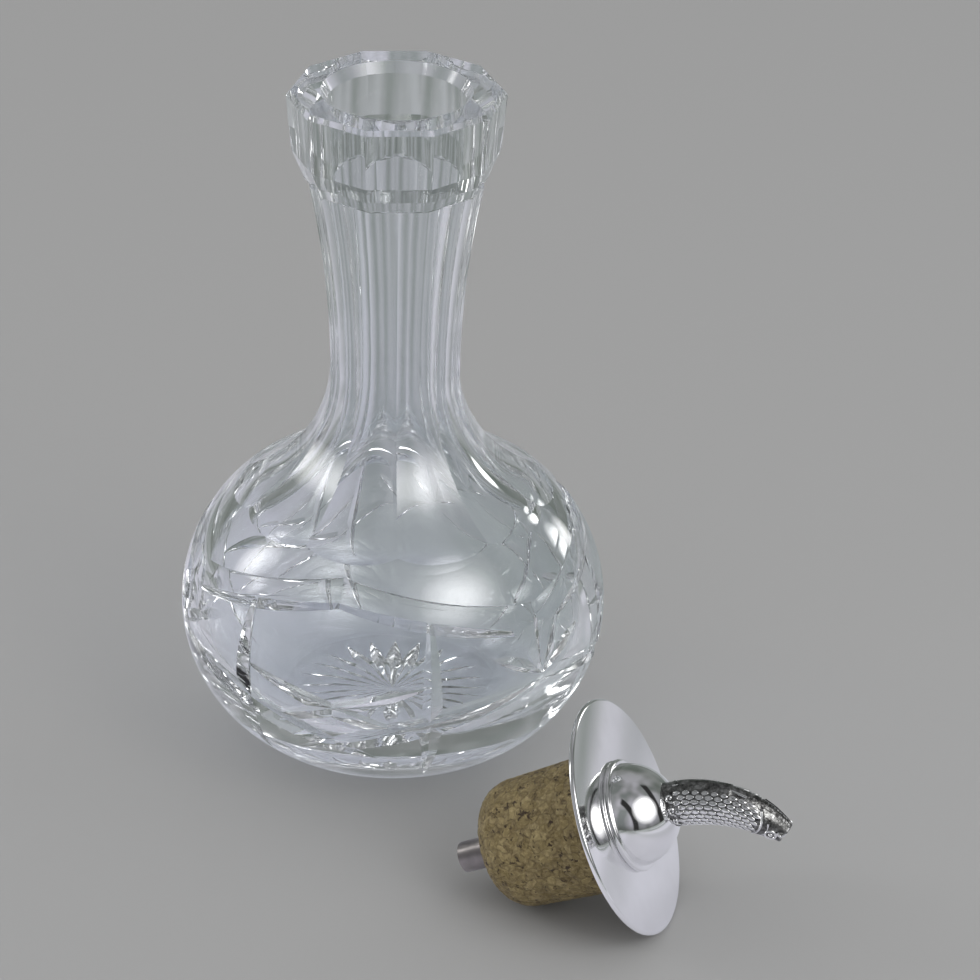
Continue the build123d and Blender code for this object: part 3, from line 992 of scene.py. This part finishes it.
view = {
    "target": (0.0191, 0, 0.0524), "elevation": 28, "distance": 0.9,
    "fieldOfView": 12.35, "roll": 1.07,
}
freshStart()
bpy.ops.object.camera_add()
camera = bpy.context.object
camera.name = "camera"
elevation = math.radians(view["elevation"])
back = Vector((0, -math.cos(elevation), math.sin(elevation)))
camera.rotation_mode = "QUATERNION"
camera.location = Vector(view["target"]) + back * view["distance"]
roll = Matrix.Rotation(math.radians(view["roll"]), 3, "Z")
turn = (-back).to_track_quat("-Z", "Y").to_matrix() @ roll
camera.rotation_quaternion = turn.to_quaternion()
camera.data.sensor_width = 36
camera.data.angle = math.radians(view["fieldOfView"])
camera.data.clip_start = 0.01
camera.data.clip_end = 20
scene.camera = camera


# ---- floor, light and surroundings

studio = {
    "floorSize": 8, "floorDrop": 0.0002,
    # painted light: the bounce tone makes the floor brighter for rays other than the lens's, glass's and
    # metal's
    "floor": (0.352, 0.352, 0.352), "bounce": (0.55, 0.55, 0.55), "ambient": 0.77,
    # painted light on the floor as glass and metal see it: painted paler close by, and painted brighter by
    # the gain where it is mirrored
    "floorPaintedLight": [
        (0.02, (0.38, 0.38, 0.41)), (0.06, (0.275, 0.275, 0.295)), (0.14, (0.235, 0.24, 0.245)),
        (0.30, (0.18, 0.19, 0.185)), (0.8, (0.15, 0.16, 0.15)),
    ],
    "paintedMirrorGain": 1.75,
    # light and dark tones: in the walls they are tones of the surrounding light; on the floor, as glass and
    # metal see it, they are painted light and shade
    "lightAndShadePatches": [(0.36, (0.60, 0.65, 0.61)), (0.5, (0.97, 0.98, 0.98)), (0.64, (1.36, 1.35, 1.40))],
    "backWall": [
        (0.48, (0.20, 0.215, 0.205)), (0.56, (0.24, 0.255, 0.245)), (0.75, (0.20, 0.21, 0.20)),
        (1.0, (0.28, 0.28, 0.29)),
    ],
    "frontWall": [
        (0.48, (0.12, 0.125, 0.12)), (0.60, (0.30, 0.30, 0.32)), (0.8, (0.38, 0.38, 0.40)),
        (1.0, (0.28, 0.28, 0.29)),
    ],
    "keySide": (0.56, -0.55, 0.61), "glow": (1.5, 1.5, 1.5), "card": (0.03, 0.03, 0.03),
}


def lightAndShadeTones(tree, place, stretch, scale):
    made = node(tree, "ShaderNodeMapping")
    made.inputs["Scale"].default_value = stretch
    link(tree, place, made.inputs["Vector"])
    return ramp(tree, noise(tree, made.outputs[0], scale, 1), studio["lightAndShadePatches"])


freshStart()
bpy.ops.mesh.primitive_plane_add(size=studio["floorSize"], location=(0, 0, -studio["floorDrop"]))
floor = bpy.context.object
floor.name = "floor"
# the lens sees the floor plain; glass and metal see it with painted light and shade, and other rays see it
# painted brighter
material, tree, shader = newMaterial("floorPaper")
path = node(tree, "ShaderNodeLightPath")
seen = math2(tree, "MAXIMUM", path.outputs["Is Glossy Ray"], path.outputs["Is Transmission Ray"])
place = node(tree, "ShaderNodeTexCoord").outputs["Object"]
away = node(tree, "ShaderNodeVectorMath", operation="LENGTH")
link(tree, place, away.inputs[0])
# painted light: the floor is paler close to the decanter, for glass and metal only
paintedPaper = ramp(tree, math2(tree, "MULTIPLY", away.outputs["Value"], 0.5), studio["floorPaintedLight"])
# painted light and shade: light and dark patches on the floor, for glass and metal only
paintedPaper = blend(tree, 1, paintedPaper, lightAndShadeTones(tree, place, (1, 0.3, 1), 9), "MULTIPLY")
# painted reflection: in mirrors the floor is painted brighter by the gain
extra = math2(tree, "MULTIPLY", path.outputs["Is Glossy Ray"], studio["paintedMirrorGain"] - 1)
gain = math2(tree, "ADD", extra, 1)
lifted = node(tree, "ShaderNodeVectorMath", operation="SCALE")
link(tree, paintedPaper, lifted.inputs[0])
link(tree, gain, lifted.inputs["Scale"])
# painted light: other rays see the floor painted brighter with the bounce tone than the lens does
hidden = blend(tree, seen, studio["bounce"], lifted.outputs[0])
paintedPaper = blend(tree, path.outputs["Is Camera Ray"], hidden, studio["floor"])
link(tree, paintedPaper, shader.inputs["Base Color"])
shader.inputs["Roughness"].default_value = 0.9
shader.inputs["Specular IOR Level"].default_value = 0
floor.data.materials.append(material)


def softbox(name, direction, distance, size, power):
    freshStart()
    place = Vector(direction).normalized() * distance + Vector((0.02, 0, 0.03))
    bpy.ops.object.light_add(type="AREA", location=place)
    lamp = bpy.context.object
    lamp.name = name
    lamp.data.shape = "RECTANGLE"
    lamp.data.size, lamp.data.size_y = size
    lamp.data.energy = power
    lamp.rotation_mode = "QUATERNION"
    lamp.rotation_quaternion = (-Vector(direction)).to_track_quat("-Z", "Y")
    lamp.data.use_nodes = True  # brightest in the middle, as a cloth box is
    tree = lamp.data.node_tree
    middle = node(tree, "ShaderNodeVectorMath", operation="DISTANCE")
    link(tree, node(tree, "ShaderNodeNewGeometry").outputs["Parametric"], middle.inputs[0])
    middle.inputs[1].default_value = (0.5, 0.5, 0)
    fade = ramp(tree, middle.outputs["Value"], [(0.12, 2.2), (0.5, 0.05)])
    link(tree, fade, tree.nodes["Emission"].inputs["Strength"])


softbox("keyBox", studio["keySide"], 1.3, (1.0, 1.0), 7.5)
softbox("backRightBox", (0.73, 0.66, 0.14), 1.5, (0.35, 0.45), 1.6)
softbox("leftBox", (-0.9, 0.15, 0.42), 1.4, (0.35, 0.9), 3)

world = bpy.data.worlds.new("studio")
scene.world = world
world.use_nodes = True
tree = world.node_tree
plain = tree.nodes["Background"]
plain.inputs["Color"].default_value = (1, 1, 1, 1)
plain.inputs["Strength"].default_value = studio["ambient"]
direction = node(tree, "ShaderNodeTexCoord").outputs["Generated"]
parts = node(tree, "ShaderNodeSeparateXYZ")
link(tree, direction, parts.inputs[0])
rise = node(tree, "ShaderNodeMapRange")
rise.inputs["From Min"].default_value = -1
link(tree, parts.outputs["Z"], rise.inputs["Value"])
backWall = ramp(tree, rise.outputs[0], studio["backWall"])
frontWall = ramp(tree, rise.outputs[0], studio["frontWall"])
facing = node(tree, "ShaderNodeMapRange", interpolation_type="SMOOTHSTEP")
facing.inputs["From Min"].default_value = -0.5
facing.inputs["From Max"].default_value = 0.5
link(tree, parts.outputs["Y"], facing.inputs["Value"])
room = node(tree, "ShaderNodeBackground")
walls = blend(tree, facing.outputs[0], frontWall, backWall)
keySide = Vector(studio["keySide"]).normalized()


def towards(side):
    made = node(tree, "ShaderNodeVectorMath", operation="DOT_PRODUCT")
    link(tree, direction, made.inputs[0])
    made.inputs[1].default_value = side
    return made.outputs["Value"]


# the key light's wide soft glow, and a black card standing on each side of it
toKey = towards(keySide)
across = math2(tree, "ABSOLUTE", towards(keySide.cross(Vector((0, 0, 1))).normalized()), 0)
card = ramp(tree, across, [(0.40, 0), (0.43, 1), (0.56, 1), (0.60, 0)])
card = blend(tree, 1, card, ramp(tree, toKey, [(0.55, 0), (0.62, 1)]), "MULTIPLY")
walls = blend(tree, 1, walls, lightAndShadeTones(tree, direction, (1, 1, 0.35), 2.2), "MULTIPLY")
walls = blend(tree, card, walls, studio["card"])
glow = ramp(tree, toKey, [(0.86, 0), (0.97, 1)])
link(tree, blend(tree, glow, walls, studio["glow"]), room.inputs["Color"])
path = node(tree, "ShaderNodeLightPath")
seen = math2(tree, "MAXIMUM", path.outputs["Is Glossy Ray"], path.outputs["Is Transmission Ray"])
seen = math2(tree, "MAXIMUM", seen, path.outputs["Is Camera Ray"])
mix = node(tree, "ShaderNodeMixShader")
link(tree, seen, mix.inputs[0])
link(tree, plain.outputs[0], mix.inputs[1])
link(tree, room.outputs[0], mix.inputs[2])
link(tree, mix.outputs[0], tree.nodes["World Output"].inputs["Surface"])

# cut glass throws light back and forth many times before it lets it out
scene.cycles.max_bounces = 32
scene.cycles.glossy_bounces = 24
scene.cycles.transmission_bounces = 32
scene.cycles.transparent_max_bounces = 32
scene.view_settings.view_transform = "Standard"
